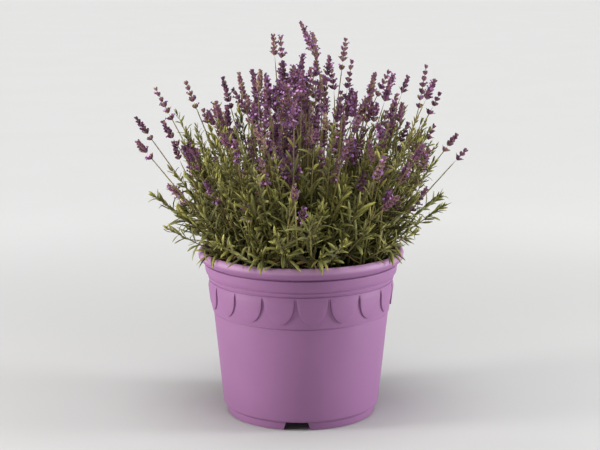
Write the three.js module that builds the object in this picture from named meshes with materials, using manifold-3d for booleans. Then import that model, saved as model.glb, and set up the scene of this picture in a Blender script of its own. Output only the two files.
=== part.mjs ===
// Potted lavender: a moulded plastic pot with a scalloped band, the potting soil in it, and the flower
// stems and leafy shoots that stand in the soil. Millimetres, +Z up, -Y to the front. The origin is on
// the pot's axis, in the plane that it stands on.
import * as THREE from "three";
import { mergeVertices } from "three/addons/utils/BufferGeometryUtils.js";
import Module from "manifold-3d";

const wasm = await Module();
wasm.setup();

// Driving dimensions.
const POT_HEIGHT = 220;
const RIM_RADIUS = 135;
const WALL = 2.5;
const FOOT = { radius: 97.2, width: 3.5, height: 9.5 }; // the ring that the pot stands on
const BODY = { bottom: 13.5, top: 138.2, bottomRadius: 103.2, topRadius: 115.7 };
const BAND = { bottom: 138.8, top: 181, bottomRadius: 116.7, topRadius: 121.4 };
const COLLAR = { bottom: 185.5, top: 199, bottomRadius: 124.2, topRadius: 127.2 }; // under the rim
const FLOOR_UNDERSIDE = 15.5; // the pot's floor is raised off the ground on its ring
const POT_SIDES = 54;

const SCALLOPS = 18;
const SCALLOP = { width: 38.2, top: 174, bottom: 145, thickness: 1.3 };
const SCALLOP_TURN = -93.1; // degrees: a gap between two scallops faces the front, a little to the left
const NOTCHES = 3;
const NOTCH = { topWidth: 27.5, bottomWidth: 35, height: 11.5 };
const DRAIN_HOLES = 8;
const DRAIN = { radius: 5.5, ring: 66 };

const SOIL_LEVEL = 204; // at the wall
const SOIL_CROWN = 208; // in the middle
const SOIL_GAP = 0.4; // between touching solids
const STEM_DEPTH = 10; // how far a stem stands in the soil

const STEM_RADIUS = 1.1;
const SHOOT_RADIUS = 1.7;
const HEAD_RADIUS = 5.6;
const STEM_STEPS = 5; // straight steps in a stem's tube
const LEAF_PAIRS = 4;
const FOOT_SHARE = 0.42; // a stem leaves the soil at this share of its tip's distance from the axis

const COLOURS = {
  pot: 0xa274a0,
  soil: 0x2b211a,
  flower: 0x6e4e66,
  leaf: 0x73713a,
};

// Flower stems: where each head's tip is and how long the head is. "foot" and "aim" are given only for
// a stem that doesn't simply fan out from the axis: where it leaves the soil, and its head's slope.
const FLOWER_STEMS = [
  // left side
  { tip: [-215, 0, 393], head: 27 },
  { tip: [-207, -62, 370], head: 20 },
  { tip: [-193, 42, 427], head: 38 },
  { tip: [-177, -34, 392], head: 25 },
  { tip: [-150, 8, 438], head: 28 },
  { tip: [-148, -78, 366], head: 25 },
  { tip: [-125, 62, 394], head: 22 },
  { tip: [-108, -44, 414], head: 31 },
  { tip: [-103, 30, 442], head: 33 },
  // middle
  { tip: [-80, -12, 452], head: 35 },
  { tip: [-65, 54, 450], head: 34 },
  { tip: [-44, -60, 450], head: 26 },
  { tip: [-36, 2, 500], head: 27 },
  { tip: [-27, 64, 492], head: 28 },
  { tip: [-1, 0, 516], head: 40, foot: [22, 4], aim: [-0.42, 0] },
  { tip: [14, 42, 500], head: 34, foot: [14, 26], aim: [-0.2, 0] },
  { tip: [12, -52, 462], head: 36 },
  { tip: [36, -24, 474], head: 24 },
  { tip: [58, 12, 494], head: 31 },
  { tip: [64, -46, 470], head: 36 },
  // right side
  { tip: [95, -16, 452], head: 31 },
  { tip: [116, 32, 450], head: 27, aim: [0.5, 0.1] },
  { tip: [115, -62, 454], head: 36 },
  { tip: [140, 18, 445], head: 23 },
  { tip: [161, -8, 461], head: 46, aim: [0.16, 0] },
  { tip: [169, -48, 446], head: 27 },
  { tip: [184, 42, 420], head: 20 },
  { tip: [206, 24, 368], head: 20 },
  { tip: [213, -22, 354], head: 18 },
  // front
  { tip: [-50, -138, 360], head: 31 },
  { tip: [-96, -112, 386], head: 22 },
  { tip: [-8, -196, 336], head: 26 },
  { tip: [56, -130, 381], head: 31 },
  { tip: [103, -132, 361], head: 36 },
  { tip: [150, -112, 372], head: 24 },
  // back
  { tip: [-118, 140, 398], head: 30 },
  { tip: [-44, 194, 372], head: 28 },
  { tip: [30, 126, 436], head: 32 },
  { tip: [84, 176, 384], head: 30 },
  { tip: [132, 106, 412], head: 28 },
];

// Leafy shoots with no flower: where each one's tip is. The outer ones lean out over the rim.
const LEAFY_SHOOTS = [
  [-194, -14, 292],
  [-172, -92, 262],
  [-108, -160, 252],
  [-26, -172, 262],
  [62, -166, 258],
  [134, -132, 266],
  [184, -62, 284],
  [192, 34, 276],
  [146, 124, 272],
  [58, 168, 264],
  [-18, 172, 262],
  [-132, 120, 276],
  [-176, 68, 284],
  [-58, -92, 298],
  [46, -88, 304],
  [-6, 96, 306],
];

const up = new THREE.Vector3(0, 0, 1);

// A closed three.js geometry as a manifold-3d solid.
function solidOf(geometry) {
  const bare = geometry.clone();
  bare.deleteAttribute("normal");
  bare.deleteAttribute("uv");
  const merged = mergeVertices(bare, 1e-3);
  return new wasm.Manifold(
    new wasm.Mesh({
      numProp: 3,
      vertProperties: merged.attributes.position.array,
      triVerts: new Uint32Array(merged.index.array),
    }),
  );
}

// A manifold-3d solid as a three.js geometry.
function geometryOf(solid) {
  const mesh = solid.getMesh();
  const geometry = new THREE.BufferGeometry();
  geometry.setAttribute("position", new THREE.BufferAttribute(mesh.vertProperties, 3));
  geometry.setIndex(new THREE.BufferAttribute(mesh.triVerts, 1));
  geometry.computeVertexNormals();
  return geometry;
}

// The solid that a profile of [radius, height] points makes when it turns about the Z axis.
function turned(profile, sides) {
  const points = profile.map(([r, z]) => new THREE.Vector2(r, z));
  const lathe = new THREE.LatheGeometry(points, sides);
  return solidOf(lathe.rotateX(Math.PI / 2));
}

// A flat outline, given as a THREE.Shape in X and Z, pushed outwards from the axis between two radii and
// turned to face the given direction.
function radialPrism(shape, from, to, degrees) {
  const prism = new THREE.ExtrudeGeometry(shape, { depth: to - from, bevelEnabled: false, curveSegments: 5 });
  prism.rotateX(Math.PI / 2);
  prism.translate(0, to, 0);
  prism.rotateZ(THREE.MathUtils.degToRad(degrees - 90));
  return solidOf(prism);
}

// The pot's outside radius on the band at a height.
function bandRadius(z) {
  const share = (z - BAND.bottom) / (BAND.top - BAND.bottom);
  return THREE.MathUtils.lerp(BAND.bottomRadius, BAND.topRadius, share);
}

// The inside of the wall, from the floor up to the rim.
const INSIDE = [
  [BODY.bottomRadius - WALL, FLOOR_UNDERSIDE + WALL],
  [BAND.bottomRadius - WALL, BAND.bottom],
  [BAND.topRadius - WALL, BAND.top],
  [COLLAR.topRadius - WALL, COLLAR.top],
  [126.2, POT_HEIGHT - 1.5],
];

function potBody() {
  const footInside = FOOT.radius - FOOT.width;
  const outside = [
    [0, FLOOR_UNDERSIDE],
    [footInside, FLOOR_UNDERSIDE],
    [footInside, 0],
    [FOOT.radius, 0],
    [FOOT.radius, FOOT.height],
    [BODY.bottomRadius, BODY.bottom],
    [BODY.topRadius, BODY.top],
    [BAND.bottomRadius, BAND.bottom],
    [BAND.topRadius, BAND.top],
    [BAND.topRadius + 1, BAND.top + 0.5],
    [COLLAR.bottomRadius - 0.6, COLLAR.bottom],
    [COLLAR.topRadius - 1, 190],
    [COLLAR.topRadius, COLLAR.top],
    [131, 206.5],
    [RIM_RADIUS, 213.5],
    [RIM_RADIUS - 1.2, 217.5],
    [RIM_RADIUS - 4.5, POT_HEIGHT],
  ];
  return turned([...outside, ...INSIDE.toReversed(), [0, FLOOR_UNDERSIDE + WALL]], POT_SIDES);
}

// The raised scallops: a thin ring around the band, cut to a row of hanging U shapes.
function scallops() {
  const { width, top, bottom, thickness } = SCALLOP;
  const low = bottom - 2;
  const high = top + 2;
  const ring = turned(
    [
      [bandRadius(low) - 1.2, low],
      [bandRadius(low) + thickness, low],
      [bandRadius(high) + thickness, high],
      [bandRadius(high) - 1.2, high],
      [bandRadius(low) - 1.2, low],
    ],
    POT_SIDES,
  );
  const half = width / 2;
  const outline = new THREE.Shape();
  outline.absellipse(0, top, half, top - bottom, Math.PI, 2 * Math.PI, false);
  const cutters = [];
  for (let i = 0; i < SCALLOPS; i++) {
    const degrees = SCALLOP_TURN + ((i + 0.5) * 360) / SCALLOPS;
    cutters.push(radialPrism(outline, 100, 130, degrees));
  }
  return ring.intersect(wasm.Manifold.union(cutters));
}

function makePot() {
  let pot = potBody().add(scallops());
  const notch = new THREE.Shape();
  notch.moveTo(-NOTCH.bottomWidth / 2 - 0.3, -1);
  notch.lineTo(NOTCH.bottomWidth / 2 + 0.3, -1);
  notch.lineTo(NOTCH.topWidth / 2, NOTCH.height);
  notch.lineTo(-NOTCH.topWidth / 2, NOTCH.height);
  for (let i = 0; i < NOTCHES; i++) {
    pot = pot.subtract(radialPrism(notch, 80, 110, SCALLOP_TURN + (i * 360) / NOTCHES));
  }
  for (let i = 0; i < DRAIN_HOLES; i++) {
    const hole = new THREE.CylinderGeometry(DRAIN.radius, DRAIN.radius, 10, 10);
    hole.rotateX(Math.PI / 2);
    hole.translate(DRAIN.ring, 0, FLOOR_UNDERSIDE + WALL / 2);
    hole.rotateZ((i * 2 * Math.PI) / DRAIN_HOLES);
    pot = pot.subtract(solidOf(hole));
  }
  return pot;
}

// The height of the soil's surface at a distance from the axis.
function soilHeight(r) {
  const share = Math.min(1, r / 124);
  return THREE.MathUtils.lerp(SOIL_CROWN, SOIL_LEVEL, share * share);
}

// The soil fills the pot's inside, a hair clear of its walls and floor.
function soilBody() {
  const wall = INSIDE.filter(([, z]) => z < SOIL_LEVEL).map(([r, z]) => [r - SOIL_GAP, z]);
  wall[0][1] += SOIL_GAP;
  const edge = COLLAR.topRadius - WALL;
  return turned(
    [[0, wall[0][1]], ...wall, [edge, SOIL_LEVEL], [90, soilHeight(90)], [45, soilHeight(45)], [0, SOIL_CROWN]],
    POT_SIDES,
  );
}

// The line that a stem follows from the soil to the base of its head, and its head's direction.
function stemLine({ tip, head = 0, foot, aim }) {
  const top = new THREE.Vector3(...tip);
  const [footX, footY] = foot ?? [tip[0] * FOOT_SHARE, tip[1] * FOOT_SHARE];
  const start = new THREE.Vector3(footX, footY, soilHeight(Math.hypot(footX, footY)) - STEM_DEPTH);
  const rise = top.z - start.z;
  const across = new THREE.Vector3(top.x - footX, top.y - footY, 0);
  const slope = aim ? new THREE.Vector3(...aim, 0) : across.clone().multiplyScalar(1.1 / rise);
  const direction = slope.add(up).normalize();
  const end = top.clone().addScaledVector(direction, -head);
  const first = start.clone().addScaledVector(across, 0.26);
  first.z += rise * 0.34;
  const second = end.clone().addScaledVector(direction, -rise * 0.3);
  return { curve: new THREE.CubicBezierCurve3(start, first, second, end), direction, end };
}

// A closed tube of a few flat sides along a curve.
function tube(curve, radius, sides, steps) {
  const section = new THREE.Shape();
  for (let i = 0; i < sides; i++) {
    const a = (i * 2 * Math.PI) / sides;
    section[i ? "lineTo" : "moveTo"](radius * Math.cos(a), radius * Math.sin(a));
  }
  section.closePath();
  return solidOf(new THREE.ExtrudeGeometry(section, { steps, extrudePath: curve, bevelEnabled: false }));
}

// A flower head: whorls of buds, each a bulge round the stem, closing to a point.
function flowerHead(length) {
  const whorls = Math.max(2, Math.round(length / 9));
  const profile = [
    [0, -1.5],
    [STEM_RADIUS + 0.5, -1.5],
  ];
  for (let i = 0; i < whorls; i++) {
    const z = (length * i) / whorls;
    const bulge = HEAD_RADIUS * (1 - (0.45 * i) / whorls);
    profile.push([bulge, z + (0.45 * length) / whorls]);
    if (i < whorls - 1) profile.push([bulge * 0.62, z + (0.95 * length) / whorls]);
  }
  profile.push([0, length]);
  return turned(profile, 6);
}

function flowerStem(spec) {
  const { curve, direction, end } = stemLine(spec);
  const turn = new THREE.Quaternion().setFromUnitVectors(up, direction);
  const place = new THREE.Matrix4().compose(end, turn, new THREE.Vector3(1, 1, 1));
  const head = flowerHead(spec.head).transform(place.elements);
  return tube(curve, STEM_RADIUS, 5, STEM_STEPS).add(head);
}

// One narrow leaf, along +X from the stem and bent down at its end, as a thin closed solid.
function leafBlade(length, width, thickness) {
  const outline = new THREE.Shape();
  outline.moveTo(0, 0);
  outline.lineTo(0.45 * length, -0.5 * width);
  outline.lineTo(length, 0);
  outline.lineTo(0.45 * length, 0.5 * width);
  outline.closePath();
  return new THREE.ExtrudeGeometry(outline, { depth: thickness, bevelEnabled: false });
}

// A leaf on a curve: which way it points round the stem, and how far it stands up from it.
function placedLeaf(curve, at, turn, lift, length, width, thickness) {
  const point = curve.getPointAt(at);
  const along = curve.getTangentAt(at);
  const side = new THREE.Vector3(Math.cos(turn), Math.sin(turn), 0);
  side.addScaledVector(along, -side.dot(along)).normalize();
  const out = side.multiplyScalar(Math.cos(lift)).addScaledVector(along, Math.sin(lift));
  const wide = new THREE.Vector3().crossVectors(along, out).normalize();
  const thick = new THREE.Vector3().crossVectors(out, wide);
  const frame = new THREE.Matrix4().makeBasis(out, wide, thick).setPosition(point);
  return solidOf(leafBlade(length, width, thickness).translate(0, 0, -thickness / 2).applyMatrix4(frame));
}

// A leafy shoot: a stem with crossed pairs of narrow leaves. A leaf is left out where it would run into
// what already stands there.
function leafyShoot(tip, number, taken) {
  const { curve } = stemLine({ tip });
  let shoot = tube(curve, SHOOT_RADIUS, 5, STEM_STEPS);
  for (let i = 0; i < LEAF_PAIRS; i++) {
    const at = 0.45 + (0.52 * i) / (LEAF_PAIRS - 1);
    const lift = THREE.MathUtils.degToRad(30 + 9 * i);
    const length = 38 - 5 * i;
    for (const half of [0, Math.PI]) {
      const turn = number * 1.1 + (i * Math.PI) / 2 + half;
      const room = placedLeaf(curve, at, turn, lift, length + 2, 9, 4);
      if (room.intersect(taken).isEmpty()) {
        shoot = shoot.add(placedLeaf(curve, at, turn, lift, length, 6.5, 1.2));
      }
    }
  }
  return shoot;
}

// The hole that a stem stands in: the first straight step of its tube, a little wider than the stem.
function socket(spec, radius) {
  const { curve } = stemLine(spec);
  const low = curve.getPoint(0).addScaledVector(curve.getTangent(0), -SOIL_GAP);
  return tube(new THREE.LineCurve3(low, curve.getPointAt(1 / STEM_STEPS)), radius, 5, 1);
}

const part = new THREE.Group();

function addMesh(name, solid, colour, roughness) {
  const material = new THREE.MeshStandardMaterial({ color: colour, roughness, metalness: 0 });
  const mesh = new THREE.Mesh(geometryOf(solid), material);
  mesh.name = name;
  part.add(mesh);
}

const number = (i) => String(i + 1).padStart(2, "0");

const stems = FLOWER_STEMS.map(flowerStem);
const pot = makePot();
let taken = wasm.Manifold.union(stems).add(pot);
const shoots = LEAFY_SHOOTS.map((tip, i) => {
  const shoot = leafyShoot(tip, i, taken);
  taken = taken.add(shoot);
  return shoot;
});
const sockets = [
  ...FLOWER_STEMS.map((spec) => socket(spec, STEM_RADIUS + 0.5)),
  ...LEAFY_SHOOTS.map((tip) => socket({ tip }, SHOOT_RADIUS + 0.6)),
];
const soil = soilBody().subtract(wasm.Manifold.union(sockets));

addMesh("pot", pot, COLOURS.pot, 0.5);
addMesh("potting_soil", soil, COLOURS.soil, 1);
stems.forEach((solid, i) => addMesh(`flower_stem_${number(i)}`, solid, COLOURS.flower, 0.8));
shoots.forEach((solid, i) => addMesh(`leafy_shoot_${number(i)}`, solid, COLOURS.leaf, 0.7));

export default part;
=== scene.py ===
"""Potted lavender: a scalloped plastic pot, its compost, and one bush of flower stems and leafy shoots.

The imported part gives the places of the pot, the soil, the outer flower stems and the outer shoots. This
script gives each of them its fine shape and finish, and fills the bush with its inner stems and shoots.
Lengths are in metres in the frame and in the meshes. MM turns millimetres into metres.
"""

import math

import bpy
import numpy as np
from mathutils import Matrix, Vector


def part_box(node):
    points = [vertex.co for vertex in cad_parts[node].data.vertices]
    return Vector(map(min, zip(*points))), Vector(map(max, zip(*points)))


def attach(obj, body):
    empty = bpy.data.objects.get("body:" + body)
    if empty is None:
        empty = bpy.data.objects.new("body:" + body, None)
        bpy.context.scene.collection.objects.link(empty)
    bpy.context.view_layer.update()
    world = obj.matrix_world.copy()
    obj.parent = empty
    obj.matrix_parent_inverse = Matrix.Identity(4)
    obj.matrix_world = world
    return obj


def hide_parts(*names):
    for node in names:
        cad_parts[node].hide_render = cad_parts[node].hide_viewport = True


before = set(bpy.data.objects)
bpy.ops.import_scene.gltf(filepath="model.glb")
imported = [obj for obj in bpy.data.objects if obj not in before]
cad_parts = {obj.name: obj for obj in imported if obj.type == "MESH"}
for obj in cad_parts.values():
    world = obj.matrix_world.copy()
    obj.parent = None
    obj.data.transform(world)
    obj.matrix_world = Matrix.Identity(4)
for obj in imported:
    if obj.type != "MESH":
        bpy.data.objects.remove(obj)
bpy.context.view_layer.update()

bl_info = {
    "name": "Potted Lavender",
    "version": (1, 0, 0),
    "blender": (4, 5, 0),
    "location": "View3D > Sidebar > Lavender",
    "description": "Builds a flowering lavender bush in a scalloped plastic pot",
    "category": "Add Mesh",
}

MM = 0.001
TURN = 2 * math.pi
UP = np.array([0.0, 0.0, 1.0])

POT_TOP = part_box("pot")[1].z
SOIL_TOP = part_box("potting_soil")[1].z
SOIL_RADIUS = 124 * MM
SOIL_DISH = 4 * MM  # how far the soil sinks from the middle to the wall

# The pot's outline, in millimetres: [radius, height, fillet].
POT_OUTSIDE = [
    (0.0, 15.5, 0.0),
    (93.7, 15.5, 1.2),
    (93.7, 0.0, 0.9),
    (97.2, 0.0, 0.9),
    (97.5, 9.3, 0.6),
    (103.2, 13.3, 1.6),
    # a groove under the band
    (115.5, 137.0, 0.3),
    (114.9, 137.7, 0.3),
    (115.0, 138.7, 0.3),
    (116.8, 138.9, 0.4),
    # the broad groove and the thin one on each side of the bead above the band
    (121.2, 179.6, 0.5),
    (119.8, 180.4, 0.5),
    (119.9, 181.8, 0.5),
    (122.2, 182.3, 0.5),
    (123.0, 185.7, 0.5),
    (122.2, 186.3, 0.3),
    (122.4, 187.1, 0.3),
    (123.8, 187.4, 0.4),
    (125.9, 191.0, 2.5),
    (127.4, 202.0, 0.5),
    # the groove under the lip
    (124.4, 202.8, 0.6),
    (124.6, 205.6, 0.6),
    (129.6, 205.0, 0.5),
    (132.0, 206.4, 1.3),
    (134.6, 209.8, 2.0),
    (135.4, 213.6, 2.2),
    (134.4, 218.0, 2.0),
    (131.0, 220.0, 1.4),
    (127.6, 219.4, 1.4),
]
POT_INSIDE = [
    (126.4, 216.2, 1.5),
    (124.4, 210.0, 2.0),
    (122.2, 205.5, 2.0),
    (122.0, 199.0, 2.0),
    (118.8, 181.5, 3.0),
    (114.1, 138.8, 2.0),
    (100.7, 18.0, 3.0),
    (0.0, 18.0, 0.0),
]
SCALLOPS = 18
GAP_ANGLE = -93.1  # degrees: where a gap between two scallops, and a foot notch, face the front
NOTCHES = 3
DRAIN_HOLES = 8

# Where a leaf meets the pot: the lip's outer edge and the slope it hangs down there, the inside of the
# wall, and the height over which a leaf starts above the rim.
LIP_RADIUS = 136 * MM
LIP_SLOPE = 2.5
WALL_RADIUS = 121 * MM
RIM_START = 214 * MM
PRESSED = 0.08

LEAF, STEM, CALYX, PETAL = range(4)
WHORL_SPACING = 4.4 * MM


def linear(code):
    """An sRGB colour such as "AC80A6" as linear red, green, blue and alpha."""
    out = []
    for i in (0, 2, 4):
        c = int(code[i : i + 2], 16) / 255
        out.append(c / 12.92 if c <= 0.04045 else ((c + 0.055) / 1.055) ** 2.4)
    return (*out, 1.0)


# ---------------------------------------------------------------- settings


def colour_property(name, description, code):
    return bpy.props.FloatVectorProperty(
        name=name,
        description=description,
        size=4,
        min=0,
        max=1,
        subtype="COLOR",
        default=linear(code),
    )


def length_property(name, description, metres):
    return bpy.props.FloatProperty(
        name=name, description=description, default=metres, unit="LENGTH"
    )


def count_property(name, description, count, low=0, high=2000):
    return bpy.props.IntProperty(
        name=name, description=description, default=count, min=low, max=high
    )


class LavenderPot(bpy.types.PropertyGroup):
    steps: count_property("Steps round", "Flat steps round the pot", 144, 36, 288)
    scallop_proud: length_property(
        "Scallop height",
        "How far the scallops stand out of the band at their tops",
        2.2 * MM,
    )
    plastic: colour_property("Plastic", "Colour of the moulded plastic", "92658F")
    soil: colour_property("Compost", "Colour of the moist compost", "2A2119")


class LavenderPlant(bpy.types.PropertyGroup):
    seed: count_property("Seed", "Which bush grows", 7)
    inner_stems: count_property(
        "Inner flower stems", "Flower stems inside the outer ones", 204
    )
    inner_shoots: count_property(
        "Inner shoots", "Leafy shoots inside the outer ones", 118
    )
    thin_shoots: count_property(
        "Thin shoots", "Small-leaved shoots that stand up among the flower stems", 84
    )
    leaf_length: length_property("Leaf length", "Length of a grown leaf", 34 * MM)
    leaf_width: length_property("Leaf width", "Width of a grown leaf", 5.2 * MM)
    calyx_length: length_property(
        "Calyx length", "Length of the tube that holds one flower", 6.2 * MM
    )
    leaf: colour_property("Leaf", "Colour of a grown leaf", "707034")
    young_leaf: colour_property("Young leaf", "Colour of a young leaf", "A5A35E")
    calyx: colour_property("Calyx", "Colour of the downy calyxes", "8C5C76")
    petal: colour_property("Petal", "Colour of the open flowers", "94689A")


class LavenderStage(bpy.types.PropertyGroup):
    lens: bpy.props.FloatProperty(
        name="Lens", description="Focal length on a 36 mm sensor", default=91.2
    )
    distance: length_property(
        "Distance", "How far the camera stands from the pot's axis", 1.961
    )
    height: length_property("Height", "How high the camera is over the floor", 0.632)
    pitch: bpy.props.FloatProperty(
        name="Pitch",
        description="How far the camera looks down",
        default=math.radians(11.03),
        subtype="ANGLE",
        unit="ROTATION",
    )
    ceiling: bpy.props.FloatProperty(
        name="Ceiling", description="Brightness of the room's ceiling", default=0.08, min=0
    )
    floor: colour_property("Floor", "Colour of the floor", "F8F8F7")


# ---------------------------------------------------------------- modelling helpers


def start_fresh():
    """Leaves edit mode and deselects everything, so that an operator acts only on what it adds."""
    if bpy.context.object and bpy.context.object.mode != "OBJECT":
        bpy.ops.object.mode_set(mode="OBJECT")
    bpy.ops.object.select_all(action="DESELECT")


def pick(obj):
    start_fresh()
    obj.select_set(True)
    bpy.context.view_layer.objects.active = obj


def edit_all(obj):
    pick(obj)
    bpy.ops.object.mode_set(mode="EDIT")
    bpy.ops.mesh.select_all(action="SELECT")


def close_up(obj, distance=1e-6):
    """Merges doubled points and turns every face outwards."""
    edit_all(obj)
    bpy.ops.mesh.remove_doubles(threshold=distance)
    bpy.ops.mesh.normals_make_consistent(inside=False)
    bpy.ops.object.mode_set(mode="OBJECT")


def loft(name, sides, stations):
    """A closed stalk along Z: a ring is extruded from station to station, each (height, half width in
    X, half width in Y), and drawn together at the end."""
    start_fresh()
    height, wide, thick = stations[0]
    bpy.ops.mesh.primitive_circle_add(
        vertices=sides, radius=1, fill_type="NGON", location=(0, 0, 0), rotation=(0, 0, 0)
    )
    obj = bpy.context.object
    obj.name = name
    edit_all(obj)
    bpy.ops.transform.resize(value=(wide, thick, 1), center_override=(0, 0, 0))
    bpy.ops.transform.translate(value=(0, 0, height))
    for station in stations[1:]:
        bpy.ops.mesh.extrude_region_move(
            TRANSFORM_OT_translate={"value": (0, 0, station[0] - height)}
        )
        bpy.ops.transform.resize(
            value=(station[1] / wide, station[2] / thick, 1),
            center_override=(0, 0, station[0]),
        )
        height, wide, thick = station
    bpy.ops.mesh.merge(type="CENTER")
    bpy.ops.object.mode_set(mode="OBJECT")
    close_up(obj)
    return obj


def rounded(outline, steps=3):
    """An outline of (radius, height, fillet) points with each corner turned into a short arc."""
    points = [np.array(p[:2]) for p in outline]
    out = [points[0]]
    for before, here, after, entry in zip(
        points, points[1:], points[2:], outline[1:], strict=False
    ):
        one, two = before - here, after - here
        reach = min(entry[2], 0.45 * np.linalg.norm(one), 0.45 * np.linalg.norm(two))
        if reach < 0.05:
            out.append(here)
            continue
        start = here + one / np.linalg.norm(one) * reach
        end = here + two / np.linalg.norm(two) * reach
        for t in np.linspace(0, 1, steps + 1):
            out.append((1 - t) ** 2 * start + 2 * t * (1 - t) * here + t * t * end)
    out.append(points[-1])
    return out


def spun(name, outline, steps):
    """A closed body: the outline, in millimetres, is drawn point by point and spun about Z."""
    start_fresh()
    bpy.ops.mesh.primitive_plane_add(size=1 * MM)
    obj = bpy.context.object
    obj.name = name
    edit_all(obj)
    bpy.ops.mesh.merge(type="CENTER")
    here = np.array(outline[0]) * MM
    bpy.ops.transform.translate(value=(here[0], 0, here[1]))
    for point in outline[1:]:
        there = np.array(point) * MM
        bpy.ops.mesh.extrude_vertices_move(
            TRANSFORM_OT_translate={
                "value": (there[0] - here[0], 0, there[1] - here[1])
            }
        )
        here = there
    bpy.ops.mesh.select_all(action="SELECT")
    bpy.ops.mesh.spin(steps=steps, angle=TURN, center=(0, 0, 0), axis=(0, 0, 1))
    bpy.ops.object.mode_set(mode="OBJECT")
    close_up(obj, 2e-6)
    return obj


def prism(name, outline, near, far):
    """A closed block that stands in front of the axis: the outline of X and Z points, in millimetres,
    is filled at one distance towards -Y and extruded to another."""
    start_fresh()
    bpy.ops.mesh.primitive_circle_add(
        vertices=len(outline), radius=MM, fill_type="NGON"
    )
    obj = bpy.context.object
    obj.name = name
    for vertex, (x, z) in zip(obj.data.vertices, outline, strict=True):
        vertex.co = (x * MM, -near * MM, z * MM)
    edit_all(obj)
    bpy.ops.mesh.extrude_region_move(
        TRANSFORM_OT_translate={"value": (0, -(far - near) * MM, 0)}
    )
    bpy.ops.object.mode_set(mode="OBJECT")
    close_up(obj)
    return obj


def ring_of(obj, count, first):
    """Copies of a block in one object, turned about Z by equal steps from a direction in degrees."""
    source = obj.data
    copies = []
    for i in range(count):
        copy = bpy.data.objects.new(f"{obj.name}_{i}", source.copy())
        bpy.context.scene.collection.objects.link(copy)
        angle = math.radians(first + 90 + i * 360 / count)
        copy.data.transform(Matrix.Rotation(angle, 4, "Z"))
        copies.append(copy)
    bpy.data.objects.remove(obj)
    start_fresh()
    for copy in copies:
        copy.select_set(True)
    bpy.context.view_layer.objects.active = copies[0]
    bpy.ops.object.join()
    return bpy.context.object


def cut(obj, tool, operation):
    """Cuts, joins or keeps the overlap of two closed bodies, and removes the second."""
    pick(obj)
    modifier = obj.modifiers.new(operation.lower(), "BOOLEAN")
    modifier.object = tool
    modifier.operation = operation
    modifier.solver = "EXACT"
    bpy.ops.object.modifier_apply(modifier=modifier.name)
    bpy.data.objects.remove(tool)
    if not obj.data.polygons:
        raise RuntimeError(f"{obj.name} lost its faces in {operation}")


def bevel(obj, width, degrees, segments):
    """Rounds the edges that are sharper than an angle."""
    pick(obj)
    modifier = obj.modifiers.new("edges", "BEVEL")
    modifier.width = width
    modifier.segments = segments
    modifier.limit_method = "ANGLE"
    modifier.angle_limit = math.radians(degrees)
    bpy.ops.object.modifier_apply(modifier=modifier.name)


def smooth(obj, degrees):
    pick(obj)
    bpy.ops.object.shade_smooth_by_angle(angle=math.radians(degrees))
    obj.select_set(False)


def settle(obj, name, slot, *nodes):
    """Names a finished piece, lets it ride on the part and stand for its CAD nodes."""
    obj.name = name
    obj.data.name = name
    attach(obj, "root")
    if nodes:
        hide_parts(*nodes)


# ---------------------------------------------------------------- the pot's details, in millimetres


def scallop_pads(steps, proud):
    """The scallops that hang side by side on the band: a spun ring that stands out of the band, cut to
    tongues with round ends."""
    # The ring rises from the band at its top and stands out more evenly further down.
    ring = [
        (115.0, 143.0),
        (117.25 + 0.85 * proud, 143.0),
        (118.6 + 0.95 * proud, 156.0),
        (120.2 + proud, 171.0),
        (120.7 + 0.5 * proud, 175.5),
        (121.0, 179.4),
        (117.5, 179.4),
        (115.0, 143.0),
    ]
    pads = spun("scallops", ring, steps)
    half, top, shoulder, bottom = 19.1, 182.0, 174.0, 144.6
    outline = [(-half, top)]
    for angle in np.linspace(math.pi, TURN, 33):
        depth = (shoulder - bottom) * math.sin(angle)
        outline.append((half * math.cos(angle), shoulder + depth))
    outline.append((half, top))
    tongue = prism("scallop_tongue", outline, near=105, far=130)
    cut(pads, ring_of(tongue, SCALLOPS, GAP_ANGLE + 180 / SCALLOPS), "INTERSECT")
    bevel(pads, 1.1 * MM, 60, 3)
    return pads


def foot_notches():
    """Blocks, narrower at their tops, that cut the notches in the foot ring."""
    height, top, bottom = 11.5, 13.8, 17.8
    outline = [(-bottom, -1.0), (-top, height), (top, height), (bottom, -1.0)]
    return ring_of(prism("notch", outline, near=80, far=110), NOTCHES, GAP_ANGLE)


def drain_holes():
    """Round bits that drill the floor, in a ring."""
    radius, from_axis, floor = 5.5, 66, 16.8
    start_fresh()
    bpy.ops.mesh.primitive_cylinder_add(
        vertices=24,
        radius=radius * MM,
        depth=12 * MM,
        location=(0, -from_axis * MM, floor * MM),
    )
    bit = bpy.context.object
    bit.data.transform(bit.matrix_world)
    bit.matrix_world = Matrix.Identity(4)
    return ring_of(bit, DRAIN_HOLES, 0)


# ---------------------------------------------------------------- copies of small shapes


class Shape:
    """A small finished mesh as arrays, ready to be copied: its points, the corners of its faces, and
    for each corner how far it is round and along the shape, from 0 to 1."""

    def __init__(self, obj):
        mesh = obj.data
        self.points = np.array([v.co for v in mesh.vertices])
        self.faces = [list(p.vertices) for p in mesh.polygons]
        self.corners = np.array([v for f in self.faces for v in f])
        self.sizes = np.array([len(f) for f in self.faces])
        low, high = self.points[:, 2].min(), self.points[:, 2].max()
        self.run = (self.points[:, 2] - low) / (high - low)
        places = []
        for face in self.faces:
            round_ = np.arctan2(self.points[face, 1], self.points[face, 0]) / TURN % 1
            on_axis = np.hypot(*self.points[face, :2].T) < 1e-6
            off = round_[~on_axis]
            if off.max() - off.min() > 0.5:
                round_ = np.where(round_ < 0.5, round_ + 1, round_)
                off = round_[~on_axis]
            round_[on_axis] = off.mean()
            places.append(np.stack([round_ / 1.25, self.run[face]], 1))
        self.places = np.concatenate(places)
        bpy.data.objects.remove(obj)


def unit(vectors):
    return vectors / np.linalg.norm(vectors, axis=-1, keepdims=True)


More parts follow.
